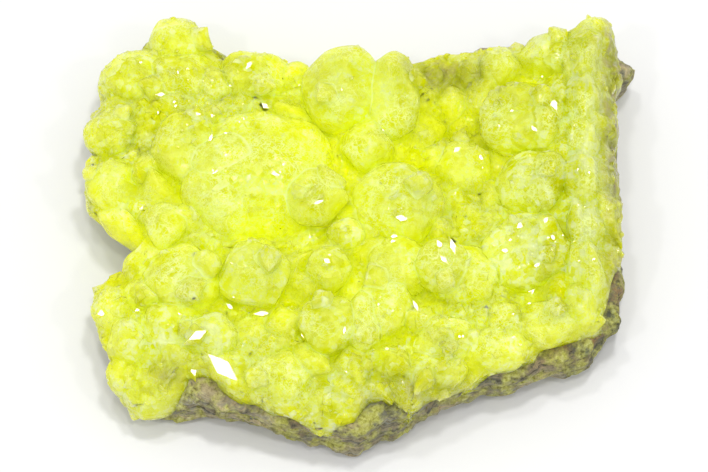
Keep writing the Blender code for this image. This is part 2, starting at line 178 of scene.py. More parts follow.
SMALL_LOWEST = 6  # none grow below this height
STUBBINESS = 0.8  # their length over the full one
# Where the sulfur's tone changes: x, y, how far it reaches along X and Y, and how much deeper (or
# paler) it is
TONES = (
    (18, 22, 6, 7, 0.7), (-33, 28, 10, 8, 0.5), (-16, 8, 14, 10, 0.18), (42, 10, 5, 26, -0.3),
    (16, 32, 8, 4, 0.4), (-18, -11, 6, 6, -0.12), (-30, -28, 9, 6, -0.2), (33, -3, 9, 8, -0.2),
    (-40, -10, 6, 8, 0.3), (12, -27, 14, 6, 0.2), (-14, -24, 8, 5, 0.2), (2, -8, 5, 4, 0.2),
    (31, 20, 8, 7, 0.2), (-36, 16, 5, 8, 0.3), (20, 2, 6, 6, 0.15), (35, -17, 8, 5, 0.15),
)
# Where the crust is thin and the rock's olive shows through: x, y, reach along X and Y, and how strongly
THIN_PLACES = (
    (16, 31, 9, 4, 0.8), (48.8, 16, 3.8, 24, 1.3), (47.8, -14, 3, 6, 1.0), (-33, -30, 7, 4, 0.55),
    (30, 38, 8, 3, 0.4), (12, -33, 16, 3.5, 0.5), (48, 34, 3, 5, 0.4),
)
# Where long crystals have grown side by side to one smooth ridge: x, y, reach along X and Y, and how
# strongly
RIDGE = ((40.6, 8, 6.2, 26, 1.5),)
# Where the broken front and sides depart from the plain outline: x, y, reach along X and Y, then the move
# along X, Y and Z
CRUST_MOVES = (
    (-27, -35, 3.8, 6, 0, 4.0, 0), (4.2, -38, 3, 6, 0, 2.4, 0), (0, -38, 3, 6, 0, -0.3, 0),
    (26, -29, 7, 5, 0, 0.9, 0), (38.5, -25, 6, 6, 0, 1.2, 0), (-46, -25, 7, 13, 1.9, 0, 0),
    (46, 37, 5, 7, 1.6, 1.0, 0), (-45, 33, 5, 4, -1.2, 0.4, 0), (-35, 42, 6, 5, -0.6, 1.3, 0),
    (-25, 41, 3.5, 5, -1.2, -1.2, 0), (20, 35, 12, 5, 0, 1.0, 0), (-37, -34, 7, 6.5, -0.6, -0.2, -2.8),
    (51, 2, 4, 8, -2.2, 0, 0), (-48, -3.5, 8, 5.5, 6.8, 0, 0), (36.6, 8, 3.0, 24, 0, 0, 2.0),
    (8.8, -36, 4, 6, 0, -3.4, 0), (46, -24, 4, 5, 0, 1.8, 0),
)
ROCK_MOVES = (
    (-26, -34, 8, 4, 0, -1.3, 0), (-1, -41, 4, 4, 0, 1.0, 0), (47, -20, 4, 5, 0.3, -0.2, 0),
    (28, -27, 6, 4, 0, -0.8, 0), (50, 34, 4, 4, 0.6, 0, 0), (-40, -34, 4, 4, 2.0, 2.2, 0),
    (-14, -37, 9, 4, 0, -1.2, 0), (18, -36, 6, 4, 0, -0.8, 0), (46.5, -24, 4, 4, -1.2, 0.8, 0),
    (-46, -3.5, 8, 5.5, 5.0, 0, 0),
)
# Where the rock is worn lower: x, y, reach along X and Y, and the share of its height that is gone
ROCK_LOW = ((-37, -34, 7, 6.5, 0.5),)
# Where the rock is rusty under the sulfur, and where its colour is darker, partly its own dark patches and
# partly painted shade of the contact shadow at the front right: x, y, reach along X and Y, and how strongly
RUST = ((40, -21, 9, 6, 1.0), (48, -12, 4, 8, 0.6), (-10, -36, 8, 4, 0.3))
DARK_AND_SHADED = ((47, -17, 5, 7, 1.0), (41, -24, 4, 4, 0.9), (24, -30, 5, 4, 0.5), (6, -37, 5, 4, 0.5))
# Flat crystal faces that flash: x, y, half length, half width, and the long way's angle
FLASHES = (
    (-23.2, -29, 3.5, 1.4, -42), (-28.5, -28.6, 1.0, 0.5, -70), (-27.6, -24, 1.8, 0.8, 30),
    (-45.2, -17.2, 0.9, 0.6, 20), (15.2, -7.6, 0.9, 0.45, -60), (17.6, -8.1, 1.5, 0.5, -75),
    (15.9, -10.7, 0.9, 0.4, -50), (36.3, 20.2, 1.4, 0.6, -70), (32.6, 15.7, 0.7, 0.35, -50),
    (-4.8, -10.3, 0.7, 0.5, -30), (8.5, -1.9, 1.1, 0.6, -10), (7.2, -4.6, 0.6, 0.45, 0),
    (31.7, -13.9, 0.9, 0.4, 45), (-16.5, -18.1, 1.4, 0.4, 5), (29.8, -2.6, 0.8, 0.5, 40),
    (34.4, -1.8, 0.7, 0.35, 70), (27, -7.5, 0.6, 0.4, 0), (35.6, -5.3, 0.5, 0.35, -60),
    (32.6, -10.5, 0.6, 0.4, 30), (7, -5.8, 0.5, 0.4, 20), (-25, 7.4, 0.8, 0.5, 60),
    (-46.1, 4.5, 0.6, 0.4, 10), (-35.6, 25.5, 0.9, 0.4, 5), (-19.3, 30.2, 0.8, 0.4, 60),
    (18.7, 13.4, 0.7, 0.5, 40), (23, 12.2, 0.6, 0.5, -30), (-9.1, -22.9, 0.7, 0.3, -70),
    (-1.7, -23.3, 0.7, 0.3, 80), (-38.7, -16.9, 0.6, 0.4, 40), (-14.2, 6.3, 1.0, 0.3, -10),
    (-6.3, 0.7, 1.0, 0.3, 25), (-22.2, -16.8, 0.8, 0.35, -40), (11, -17.6, 1.2, 0.3, -65),
    (-28.3, 19.5, 0.6, 0.4, 60), (-21.5, 24, 0.5, 0.3, 40), (-26, 14.5, 0.9, 0.3, 75),
    (-16.3, 22.7, 0.75, 0.45, -40),
)
FLASH_COUNT = 110  # tiny ones besides, most where the crust is sugary
FLASH_SIZE = (0.12, 0.34)
FLASH_STEP = 0.6  # a tiny one has no step higher than this beside it
FLASH_DEPTH = 1.6  # how deep such a crystal reaches into the crust
FLASH_WIDENING = 1.7  # how much wider it is there
FLASH_LIFT = (0.1, 0.12)  # how far its face stands out: a height, and a share of its length
FLASH_STRAY = 0.015  # how far a tiny one turns off the mirroring direction
FLASH_SLENDER = (0.35, 0.8)  # a tiny one's width over its length
FLASH_AREA = ((-44, -30), (44, 38))  # lowest and highest x, y of the tiny ones
FLASH_CANDIDATES = 4000
OWN_FLASH = 2.0  # the mark "own" of these faces

# How the crust is levelled, and how its hollows are measured
FILL_REACH = 5.0  # how far round a hollow's depth is measured from
FILL_SHARE = 0.87  # share of its depth that a hollow loses
WORN_SHARE = 0.67  # share of its height that what stands out loses
RIDGE_REACH = (3.5, 9.0)  # across and along the ridge
RIDGE_SHARE = 0.9
FILL_RIM = 2.5  # how far in from the rim the levelling begins
HOLLOW_REACH = (3.5, 3.5)
BASIN_REACH = (9, 9)
HEIGHT_CELL = 0.5  # of the height map that the hollows are measured on
MAP_MARGIN = 6
EDGE_WIDTH = 0.55  # how far the pale edge of a facet reaches in
ON_CRYSTAL = 1.06  # a place lies on a crystal whose surface formula gives less than this there
FIRM_FOOT = 6.0  # below this height the moves along Z die out

# The rock's layers, blocks and grain: how far each stands out, and how far the whole edge falls back
LAYER = 1.7  # thickness of a layer
STEP_MOVES = (1.2, 1.2, 0.9)
LAYER_STANDS = 1.2
LAYER_BULGE = 0.35
BLOCK_SIZE = 4.5
BLOCK_STANDS = 0.7
GRAIN_SIZE = 2.6
GRAIN_STANDS = 0.55
ROCK_INSET = 1.3

# Camera and light: lamps have a name, azimuth, elevation, distance, side and power
CAMERA_ELEVATION = 65
CAMERA_DISTANCE = 0.6
PIXELS_PER_MM = 5.4  # at the specimen
FRAME_WIDTH = 708 / PIXELS_PER_MM * MM  # what the frame's width spans at the specimen
AIM_LIFT = 21 / PIXELS_PER_MM * MM  # how far up the frame from the origin its middle lies
WINDOW = (135, 79, 0.6, 0.06, 0.9)  # azimuth, elevation, distance, side and power
LAMPS = (
    ("top_lamp", 12, 76, 0.6, 0.04, 0.42), ("back_left_lamp", -150, 74, 0.6, 0.05, 0.45),
    ("front_left_lamp", -50, 60, 0.6, 0.036, 0.3), ("front_right_lamp", 60, 55, 0.6, 0.036, 0.25),
)
TENT_STRENGTH = 0.78
FLOOR_HALF = 3.0  # half the side of the table top


# ---------------------------------------------------------------- noise and shapes as whole arrays


def hashed(cells, seed):
    """A value from 0 to 1 for each whole-numbered cell: the cell's numbers, times large primes, mixed bit
    by bit."""
    mixed = cells[..., 0] * 73856093 ^ cells[..., 1] * 19349663 ^ cells[..., 2] * 83492791 ^ seed * 7919
    mixed = ((mixed ^ (mixed >> 13)) * 1274126177) & 0xFFFFFFFF
    mixed = ((mixed ^ (mixed >> 15)) * 668265263) & 0xFFFFFFFF
    return ((mixed ^ (mixed >> 16)) & 0xFFFFFF) / 0xFFFFFF


def noise(places, size, seed):
    """Smooth noise from -1 to 1: random values at a lattice of this size, blended by a quintic between
    corners."""
    scaled = places / size
    cells = np.floor(scaled).astype(np.int64)
    part = scaled - cells
    blend = part**3 * (part * (part * 6 - 15) + 10)
    total = np.zeros(places.shape[:-1])
    for corner in itertools.product((0, 1), repeat=3):
        weight = np.prod(np.where(corner, blend, 1 - blend), axis=-1)
        total += weight * hashed(cells + corner, seed)
    return total * 2 - 1


def rough(places, size, seed, octaves):
    """Fractal noise: each octave has half the size and half the height of the one before."""
    return sum(noise(places, size / 2**step, seed + step) / 2**step for step in range(octaves))


def lengthened(vectors):
    """Vectors brought to unit length."""
    return vectors / np.maximum(np.linalg.norm(vectors, axis=-1, keepdims=True), 1e-9)


def grid_faces(rings, around):
    """Quads of a closed tube of rings, as rows of vertex numbers."""
    ring, step = np.meshgrid(np.arange(rings - 1), np.arange(around), indexing="ij")
    here = ring * around + step
    beside = ring * around + (step + 1) % around
    return np.stack([here, beside, beside + around, here + around], axis=-1).reshape(-1, 4)


def closed_mesh(name, rings):
    """A mesh object from an array of rings (ring, step round it, xyz) in mm; each end ring is closed by a
    fan."""
    count, around = rings.shape[:2]
    quads = grid_faces(count, around)
    ends = np.stack([rings[0].mean(axis=0), rings[-1].mean(axis=0)])
    places = np.concatenate([rings.reshape(-1, 3), ends]) * MM
    step = np.arange(around)
    after = (step + 1) % around
    low, high = count * around, count * around + 1
    last = (count - 1) * around
    fans = np.concatenate([
        np.stack([after, step, np.full(around, low)], axis=-1),
        np.stack([last + step, last + after, np.full(around, high)], axis=-1),
    ])
    mesh = bpy.data.meshes.new(name)
    mesh.from_pydata(places, [], quads.tolist() + fans.tolist())
    return bpy.data.objects.new(name, mesh)


def swell_height(x, y):
    """How much the swells and hollows raise the bed at a place: a sum of bell shapes."""
    total = np.zeros(np.shape(x))
    for middle_x, middle_y, height, reach_x, reach_y in SWELLS:
        fall = -(((x - middle_x) / reach_x) ** 2) - ((y - middle_y) / reach_y) ** 2
        total = total + height * np.exp(fall)
    return total


def along_outline(outline, spacing):
    """Points at even steps along a closed outline."""
    corners = np.array(outline + outline[:1], float)
    runs = np.hypot(*np.diff(corners, axis=0).T)
    travelled = np.concatenate([[0], np.cumsum(runs)])
    steps = np.arange(0, travelled[-1] - spacing / 2, spacing)
    return np.stack([np.interp(steps, travelled, corners[:, axis]) for axis in (0, 1)], axis=-1)


def slab_rings(outline, profile, spacing):
    """Rings of a slab: a profile of (share of the way from the middle to the outline, inset, height)
    swept round it."""
    rim = along_outline(outline, spacing)
    reach = np.hypot(rim[:, 0], rim[:, 1])[:, None]
    rings = []
    for share, inset, height in profile:
        flat = rim * np.maximum(share - inset / reach, 0.02)
        rings.append(np.concatenate([flat, np.full((len(rim), 1), height)], axis=1))
    return np.array(rings)


def rounded_profile(low, high, undercut, rounding, under_shares, wall_step, top_shares):
    """A slab's section from the middle of its underside round its undercut edge to the middle of its top:
    (share of the way out, inset, height)."""
    arc = np.linspace(0, math.pi / 2, 6)
    wall = np.arange(low + undercut + wall_step, high - rounding, wall_step)
    under = [(share, undercut, low) for share in under_shares]
    lower = [(1, undercut * (1 - math.sin(a)), low + undercut * (1 - math.cos(a))) for a in arc]
    side = [(1, 0, height) for height in wall]
    upper = [(1, rounding * (1 - math.cos(a)), high - rounding * (1 - math.sin(a))) for a in arc]
    top = [(share, rounding, high) for share in top_shares]
    return under + lower + side + upper + top


def vertex_places(mesh):
    """Every vertex's place in mm, as an array."""
    places = np.empty(len(mesh.vertices) * 3, np.float32)
    mesh.vertices.foreach_get("co", places)
    return places.reshape(-1, 3).astype(float) / MM


def vertex_normals(mesh):
    """Every vertex's outward direction, as an array."""
    normals = np.empty(len(mesh.vertices) * 3, np.float32)
    mesh.vertex_normals.foreach_get("vector", normals)
    return normals.reshape(-1, 3).astype(float)


def move_vertices(mesh, places):
    """Puts every vertex at its place in mm."""
    mesh.vertices.foreach_set("co", (places * MM).astype(np.float32).ravel())
    mesh.update()


def set_marks(mesh, marks, domain="POINT"):
    """Stores one number for each vertex or face under each name, for a material to read."""
    for name, values in marks.items():
        stored = mesh.attributes.new(name, "FLOAT", domain)
        stored.data.foreach_set("value", np.asarray(values).astype(np.float32))


def finished(obj, **steps):
    """The object with a list of modifiers applied: each name is a modifier's kind, with its settings."""
    if obj.name not in bpy.context.scene.collection.objects:
        bpy.context.scene.collection.objects.link(obj)
    for kind, settings in steps.items():
        step = obj.modifiers.new(kind, kind)
        for name, value in settings.items():
            setattr(step, name, value)
    graph = bpy.context.evaluated_depsgraph_get()
    mesh = bpy.data.meshes.new_from_object(obj.evaluated_get(graph))
    obj.modifiers.clear()
    obj.data = mesh
    return obj


def joined(target, others, operation):
    """The target after a Boolean with a list of closed meshes."""
    group = bpy.data.collections.new("operands")
    bpy.context.scene.collection.children.link(group)
    for other in others:
        group.objects.link(other)
    settings = {
        "operation": operation, "solver": "MANIFOLD", "operand_type": "COLLECTION", "collection": group,
    }
    finished(target, BOOLEAN=settings)
    for other in others:
        bpy.data.objects.remove(other)
    bpy.data.collections.remove(group)
    return target


def thinned(obj):
    """The object with no more triangles than one piece may have, losing the flattest places first."""
    obj.data.calc_loop_triangles()
    share = MOST_TRIANGLES / len(obj.data.loop_triangles)
    return finished(obj, DECIMATE={"ratio": share}) if share < 1 else obj


def smooth_with_creases(obj, angle):
    """Shades an object smooth, but keeps each edge sharp that turns by more than an angle in degrees."""
    obj.data.shade_smooth()
    obj.data.set_sharp_from_angle(angle=math.radians(angle))


# ---------------------------------------------------------------- crystals


def facet_directions(habit):
    """Every face of a habit as (outward direction, reach): each sign of each index once, in a fixed
    order."""
    faces = {}
    for indices, reach in habit:
        for signs in itertools.product((1, -1), repeat=3):
            signed = tuple(index * sign for index, sign in zip(indices, signs))
            normal = np.array([index / length for index, length in zip(signed, AXIS_LENGTHS)])
            faces[signed] = (normal / np.linalg.norm(normal), reach)
    return list(faces.values())


def turned(around, lean):
    """The rotation matrix of a lean about X followed by a turn about Z."""
    cos_a, sin_a, cos_l, sin_l = math.cos(around), math.sin(around), math.cos(lean), math.sin(lean)
    turn = np.array([[cos_a, -sin_a, 0], [sin_a, cos_a, 0], [0, 0, 1]])
    tip = np.array([[1, 0, 0], [0, cos_l, -sin_l], [0, sin_l, cos_l]])
    return turn @ tip


def grown(habit, chance, middle, half_size, sharpness):
    """One crystal turned at random and unevenly grown: (directions over distances, middle, half size,
    sharpness)."""
    around = chance.uniform(0, math.tau)
    turn = turned(around, chance.uniform(0, TILT))
    facets = []
    for direction, reach in facet_directions(habit):
        facets.append(turn @ direction / (reach * (1 + chance.uniform(-GROWTH_SPREAD, GROWTH_SPREAD))))
    return np.array(facets), np.array(middle, float), np.array(half_size, float), sharpness


def crystal_mesh(name, facets, middle, half_size, sharpness):
    """A crystal with edges worn round: on each ray u from its middle the surface lies at (sum over faces
    of max(0, n.u / d) ** sharpness) ** (-1 / sharpness), then it is stretched to its size."""
    around = int(np.clip(math.tau * half_size.max() / CRYSTAL_MESH, 12, 150))
    polar = np.linspace(0, math.pi, around // 2 + 3)[1:-1][::-1]
    turn = np.linspace(0, math.tau, around, endpoint=False)
    polar, turn = np.meshgrid(polar, turn, indexing="ij")
    rays = np.stack([np.sin(polar) * np.cos(turn), np.sin(polar) * np.sin(turn), np.cos(polar)], axis=-1)
    facing = np.maximum(rays @ facets.T, 0)
    radius = (facing**sharpness).sum(axis=-1) ** (-1 / sharpness)
    return closed_mesh(name, middle + rays * radius[..., None] * half_size)


def inside_outline(x, y, outline):
    """Whether a place is inside an outline: a line to its right crosses the outline an odd number of
    times."""
    inside = False
    for (x1, y1), (x2, y2) in zip(outline, outline[1:] + outline[:1]):
        if (y1 > y) != (y2 > y) and x < x1 + (y - y1) / (y2 - y1) * (x2 - x1):
            inside = not inside
    return inside


def covered(x, y):
    """Whether a large crystal already covers a place."""
    return any(math.hypot((x - row[0]) / row[3], (y - row[1]) / row[4]) < COVERED for row in CRYSTALS)


def filler_places(chance):
    """Middles of the medium crystals: a grid with every second row shifted and each place moved a
    little."""
    places = []
    for row in range(-FILLER_ROWS, FILLER_ROWS + 1):
        for column in range(-FILLER_COLUMNS, FILLER_COLUMNS + 1):
            x = (column + 0.5 * (row % 2)) * FILLER_STEP + chance.uniform(-FILLER_SHIFT, FILLER_SHIFT)
            y = row * FILLER_STEP * ROW_STEP + chance.uniform(-FILLER_SHIFT, FILLER_SHIFT)
            shifts = itertools.product((-FILLER_INSET, FILLER_INSET), repeat=2)
            around = [(x + side, y + end) for side, end in shifts]
            if all(inside_outline(*place, CRUST_OUTLINE) for place in around) and not covered(x, y):
                places.append((x, y))
    return places


def main_crystals():
    """The large crystals with their satellites, and the medium ones between, as in the solid."""
    chance = random.Random(GROWTH_SEED)
    crystals = []
    for row in CRYSTALS:
        half_size = np.array([row[3] * MERGED, row[4] * MERGED, row[5]])
        crystals.append(grown(HABIT, chance, row[:3], half_size, SHARP_LARGE))
        if half_size[0] >= BEARER_WIDTH:
            radius = min(half_size) * chance.uniform(*SATELLITE_SHARE)
            around = chance.uniform(0, math.tau)
            up = chance.uniform(*SATELLITE_HEIGHT)
            level = math.sqrt(1 - up * up)
            spot = np.array([level * math.cos(around), level * math.sin(around), up]) * SUNK
            place = np.array(row[:3]) + spot * half_size
            crystals.append(grown(SMALL_HABIT, chance, place, [radius] * 3, SHARP_SATELLITE))
    for x, y in filler_places(chance):
        radius = chance.uniform(*FILLER_RADIUS)
        bed = BED_TOP + float(swell_height(x, y))
        middle = (x, y, bed + chance.uniform(*FILLER_RISE) - radius)
        crystals.append(grown(SMALL_HABIT, chance, middle, [radius] * 3, SHARP_FILLER))
    return crystals


# ---------------------------------------------------------------- the crust


def crust_bed():
    """The bed: a rounded slab, its top raised by the swells and all of it moved by rough noise."""
    outward = np.linspace(0, 1, 9)[:-1]
    inward = np.linspace(1, 0, 32)[1:]
    profile = rounded_profile(BED_LOW, BED_TOP, BED_ROUNDING, BED_ROUNDING, outward, BED_WALL_STEP, inward)
    rings = slab_rings(CRUST_OUTLINE, profile, BED_MESH)
    upper = np.clip((rings[..., 2] - ROCK_TOP) / (BED_TOP - ROCK_TOP), 0, 1)
    size, height = BED_ROUGHNESS
    moved = np.stack([rough(rings, size, 100 * axis, 3) for axis in (1, 2, 3)], axis=-1)
    rings[..., 2] += swell_height(rings[..., 0], rings[..., 1]) * upper
    return closed_mesh("crust_bed", rings + moved * height)


def facet_marks(places, crystals):
    """What each place lies on: the crystal's number (-1 on the bed), its facet's number, how near it is
    to that facet's edge from 0 to 1, its level, which runs in even steps in from the edge, and how far in
    mm it is from the next crystal. A place lies on the crystal whose surface formula gives the least
    there."""
    nearest, second = np.full(len(places), ON_CRYSTAL), np.full(len(places), 3.0)
    crystal, facet = np.full(len(places), -1), np.zeros(len(places), int)
    edge, level, scale = np.zeros(len(places)), np.zeros(len(places)), np.full(len(places), 4.0)
    for number, (facets, middle, half_size, sharpness) in enumerate(crystals):
        local = (places - middle) / half_size
        near = np.nonzero((np.abs(local) < 1.5).all(axis=1))[0]
        heights = np.maximum(local[near] @ facets.T, 1e-3)
        surface = (heights**sharpness).sum(axis=1) ** (1 / sharpness)
        order = np.partition(heights, -2, axis=1)
        better = surface < nearest[near]
        behind = near[~better]
        second[behind] = np.minimum(second[behind], surface[~better])
        held = near[better]
        second[held] = np.where(crystal[held] >= 0, nearest[held], second[held])
        nearest[held] = surface[better]
        crystal[held] = number
        scale[held] = half_size.mean()
        facet[held] = heights[better].argmax(axis=1)
        level[held] = order[better, -2]
        gap = (order[better, -1] - order[better, -2]) * half_size.mean()
        edge[held] = np.clip(1 - gap / EDGE_WIDTH, 0, 1)
    return crystal, facet, edge, level, np.clip((second - nearest) * scale, 0, 9)


def blurred(grid, reach):
    """A grid averaged three times over a rectangle with these half sides in mm, which is close to a soft
    blur."""
    for _ in range(3):
        for axis, length in enumerate(reach):
            radius = int(round(length / HEIGHT_CELL))
            margins = [(radius + 1, radius) if side == axis else (0, 0) for side in (0, 1)]
            padded = np.pad(grid, margins, mode="edge")
            total = np.cumsum(padded, axis=axis)
            size = 2 * radius + 1
            after = np.take(total, range(size, total.shape[axis]), axis=axis)
            before = np.take(total, range(0, total.shape[axis] - size), axis=axis)
            grid = (after - before) / size
    return grid


def height_map(places):
    """The crust's top surface as a grid of heights with its lowest corner, -1 where there is none."""
    low = places[:, :2].min(axis=0) - MAP_MARGIN
    cells = np.floor((places[:, :2] - low) / HEIGHT_CELL).astype(int)
    tops = np.full(cells.max(axis=0) + int(MAP_MARGIN / HEIGHT_CELL) + 2, -1.0)
    np.maximum.at(tops, (cells[:, 0], cells[:, 1]), places[:, 2])
    return tops, low


def grid_value(grid, places, low):
    """The grid's value at each place."""
    cells = np.floor((places[:, :2] - low) / HEIGHT_CELL).astype(int)
    cells = np.clip(cells, 0, np.array(grid.shape) - 1)
    return grid[cells[:, 0], cells[:, 1]]


def hollow_depth(places, tops, low, reach):
    """How far each place lies below the top surface averaged over this reach along X and Y."""
    known = (tops >= 0).astype(float)
    level = blurred(np.maximum(tops, 0), reach) / np.maximum(blurred(known, reach), 1e-3)
    return grid_value(level, places, low) - places[:, 2]


def bells(places, rows):
    """A sum of bell shapes, each from a row of x, y, reach along X, reach along Y and height."""
    total = np.zeros(len(places))
    for x, y, reach_x, reach_y, height in rows:
        fall = -(((places[:, 0] - x) / reach_x) ** 2) - ((places[:, 1] - y) / reach_y) ** 2
        total += height * np.exp(fall)
    return total


def ridge_share(places):
    """How much a place belongs to the ridge, from 0 to 1."""
    return np.clip(bells(places, RIDGE), 0, 1)


def sugariness(places):
    """How crowded with small crystals a place is."""
    return bells(places, [(x, y, reach, reach, density) for x, y, reach, density in SUGARY])


def moved_along(places, rows):
    """Places moved by a sum of bell shapes, each from a row of x, y, reach along X and Y, and a move
    along X, Y, Z. The move along Z dies out towards the foot."""
    by_axis = [[(*row[:4], row[4 + axis]) for row in rows] for axis in range(3)]
    moves = np.stack([bells(places, axis_rows) for axis_rows in by_axis], axis=-1)
    moves[:, 2] *= np.clip(places[:, 2] / FIRM_FOOT, 0, 1)
    return places + moves


def levelled(places, tops, low, back=False):
    """Places brought nearer to the top surface averaged around them: the depth below it shrinks by a
    share in hollows and by a smaller one where they stand out, only well inside the rim. On the ridge the
    average runs along it. Back gives where levelled places were before."""
    inside = grid_value(blurred((tops >= 0).astype(float), (FILL_RIM, FILL_RIM)), places, low)
    allowed = np.clip((inside - 0.9) * 10, 0, 1) * np.clip((places[:, 2] - BED_TOP + 6) / 3, 0, 1)
    ridge = ridge_share(places)
    around = hollow_depth(places, tops, low, (FILL_REACH, FILL_REACH))
    along = hollow_depth(places, tops, low, RIDGE_REACH)
    depth = around + (along - around) * ridge
    share = np.where(depth > 0, FILL_SHARE, WORN_SHARE)
    left = 1 - (share + (RIDGE_SHARE - share) * ridge) * allowed
    return places + np.array([0, 0, 1]) * (depth - depth * (1 / left if back else left))[:, None]


def sulfur_crust(crystals):
    """The whole crust: the bed and every crystal made one and levelled, the small crystals joined to it,
    then its relief, the flat faces that flash, and the marks that its finish reads."""
    meshes = [crystal_mesh(f"crystal_{number}", *crystal) for number, crystal in enumerate(crystals)]
    crust = joined(crust_bed(), meshes, "UNION")
    places = vertex_places(crust.data)
    tops, low = height_map(places)
    move_vertices(crust.data, levelled(places, tops, low))
    new_tops, new_low = height_map(vertex_places(crust.data))
    crust = joined(crust, small_crystals(crust, crystals, new_tops, new_low), "UNION")
    places, normals = vertex_places(crust.data), vertex_normals(crust.data)
    clean = facet_marks(levelled(places, tops, low, back=True), crystals)[0] >= 0
    ridge = ridge_share(places)
    for size, height, kept in CRUST_RELIEF:
        amount = np.where(clean, kept, 1) * (1 - ridge * RIDGE_SMOOTH) * height
        places = places + normals * (rough(places, size, int(size * 10), 2) * amount)[:, None]
    stripes = sum(noise(places / sizes, 1, seed) * share for sizes, seed, share in STRIPES)
    places = places + normals * (stripes * ridge * STRIPE_HEIGHT)[:, None]
    places = moved_along(places, CRUST_MOVES)
    move_vertices(crust.data, places)
    crust = thinned(joined(crust, flash_crystals(*height_map(places)), "UNION"))
    crust.name = "sulfur_crust"
    places = vertex_places(crust.data)
    before = levelled(places, tops, low, back=True)
    owner, facet, edge, level, contact = facet_marks(before, crystals)
    rim = grid_value(blurred((new_tops >= 0).astype(float), (FILL_RIM, FILL_RIM)), places, new_low)
    inside = np.clip((rim - 0.6) / 0.35, 0, 1)
    set_marks(crust.data, {
        # hollow and basin measure how deep a place lies; the finish paints shade and glow into the hollows from
        # them
        "hollow": hollow_depth(places, new_tops, new_low, HOLLOW_REACH) * inside,
        "basin": hollow_depth(places, new_tops, new_low, BASIN_REACH) * inside,
        "sugar": np.clip(sugariness(places) + (owner < 0) * 0.5, 0, 1),
        "frost": hashed(np.stack([owner, facet, owner * 0], axis=-1), 5),
        "edge": edge,
        "level": level,
        "contact": contact,
        "ridge": ridge_share(places),
        "tone": bells(places, TONES),
        "thin": np.clip(bells(places, THIN_PLACES), 0, 1),
    })
    middles = face_values(crust.data, "center", 3) / MM
    owner = facet_marks(levelled(middles, tops, low, back=True), crystals)[0]
    large = np.array([crystal[3] != SHARP_FILLER for crystal in crystals])[owner] & (owner >= 0)
    tint = hashed(np.stack([owner, owner * 0, owner * 0], axis=-1), 3)
    set_marks(crust.data, {"tint": tint, "lump": large}, "FACE")
    smooth_with_creases(crust, CREASE["crust"])
    return crust


def neighbours(grid):
    """The grid and its eight neighbours, as nine grids shifted by a cell or none along each axis."""
    return [np.roll(grid, step, (0, 1)) for step in itertools.product((-1, 0, 1), repeat=2)]


def tiny_flashes(draw, tops, low):
    """Rows of tiny flat faces, as in FLASHES: drawn on the crust's top, more where it is sugary, and none
    beside a step."""
    steep = tops - np.minimum.reduce(neighbours(tops)) > FLASH_STEP
    spots = draw.uniform(*FLASH_AREA, (FLASH_CANDIDATES, 2))
    places = np.concatenate([spots, np.zeros((FLASH_CANDIDATES, 1))], axis=1)
    high = grid_value(tops, places, low) > BED_TOP
    even = grid_value(steep.astype(float), places, low) < 0.1
    crowded = (0.15 + sugariness(places)) * (high & even)
    chosen = draw.choice(FLASH_CANDIDATES, FLASH_COUNT, replace=False, p=crowded / crowded.sum())
    lengths = draw.uniform(*FLASH_SIZE, FLASH_COUNT)
    widths = lengths * draw.uniform(*FLASH_SLENDER, FLASH_COUNT)
    return np.column_stack([spots[chosen], lengths, widths, draw.uniform(-90, 90, FLASH_COUNT)])


def rhombic_block(name, middle, up, length, width, angle):
    """A block with a rhombic top face square to up, its long way at an angle from X, which widens
    downwards."""
    way = np.array([math.cos(math.radians(angle)), math.sin(math.radians(angle)), 0])
    along = lengthened(way - up * (way @ up))
    across = np.cross(up, along)
    rhombus = [along * length, across * width, -along * length, -across * width]
    sections = ((FLASH_WIDENING, FLASH_DEPTH), (1, 0))
    rings = [[middle + corner * wide - up * deep for corner in rhombus] for wide, deep in sections]
    mesh = bpy.data.meshes.new(name)
    faces = [*grid_faces(2, 4).tolist(), [3, 2, 1, 0], [4, 5, 6, 7]]
    mesh.from_pydata(np.array(rings).reshape(-1, 3) * MM, [], faces)
    set_marks(mesh, {"own": np.full(len(faces), OWN_FLASH)}, "FACE")
    return bpy.data.objects.new(name, mesh)


def flash_crystals(tops, low):
    """Small blocks with a rhombic face each, which widen into the crust: the face is turned so that it
    mirrors the window light to the front, halfway between the two, the tiny ones nearly so."""
    tops = np.where(tops < BED_LOW, np.maximum.reduce(neighbours(tops)), tops)  # no gaps in the height map
    front = np.array(toward(0, CAMERA_ELEVATION)) * CAMERA_DISTANCE / MM
    window = np.array(toward(*WINDOW[:2])) * WINDOW[2] / MM
    draw = np.random.default_rng(GROWTH_SEED)
    made = []
    for number, (x, y, length, width, angle) in enumerate([*FLASHES, *tiny_flashes(draw, tops, low)]):
        top = grid_value(tops, np.array([[x, y, 0.0]]), low)[0]
        middle = np.array([x, y, top + FLASH_LIFT[0] + FLASH_LIFT[1] * length])
        up = lengthened(lengthened(front - middle) + lengthened(window - middle))
        if number >= len(FLASHES):
            up = lengthened(up + draw.normal(size=3) * FLASH_STRAY)
        made.append(rhombic_block(f"flash_{number}", middle, up, length, width, angle))
    return made


def stubby_rings():
    """A stubby double pyramid with a flatter point and a cut tip at each end, as five rhombic rings:
    the girth is 1 - z up to the flatter faces and 1.8 - 3 z on them."""
    levels = [(-0.53, 0.21), (-0.4, 0.6), (0, 1), (0.4, 0.6), (0.53, 0.21)]
    corners = np.array([(AXIS_LENGTHS[0], 0), (0, 1), (-AXIS_LENGTHS[0], 0), (0, -1)])
    long_way = AXIS_LENGTHS[2]
    rings = []
    for height, girth in levels:
        rings.append([(*(corner * girth), height * long_way * STUBBINESS) for corner in corners])
    return np.array(rings)


def face_values(mesh, name, width):
    """A number or vector that Blender keeps for each face, as an array."""
    values = np.empty(len(mesh.polygons) * width, np.float32)
    mesh.polygons.foreach_get(name, values)
    return values.reshape(-1, width).astype(float) if width > 1 else values.astype(float)


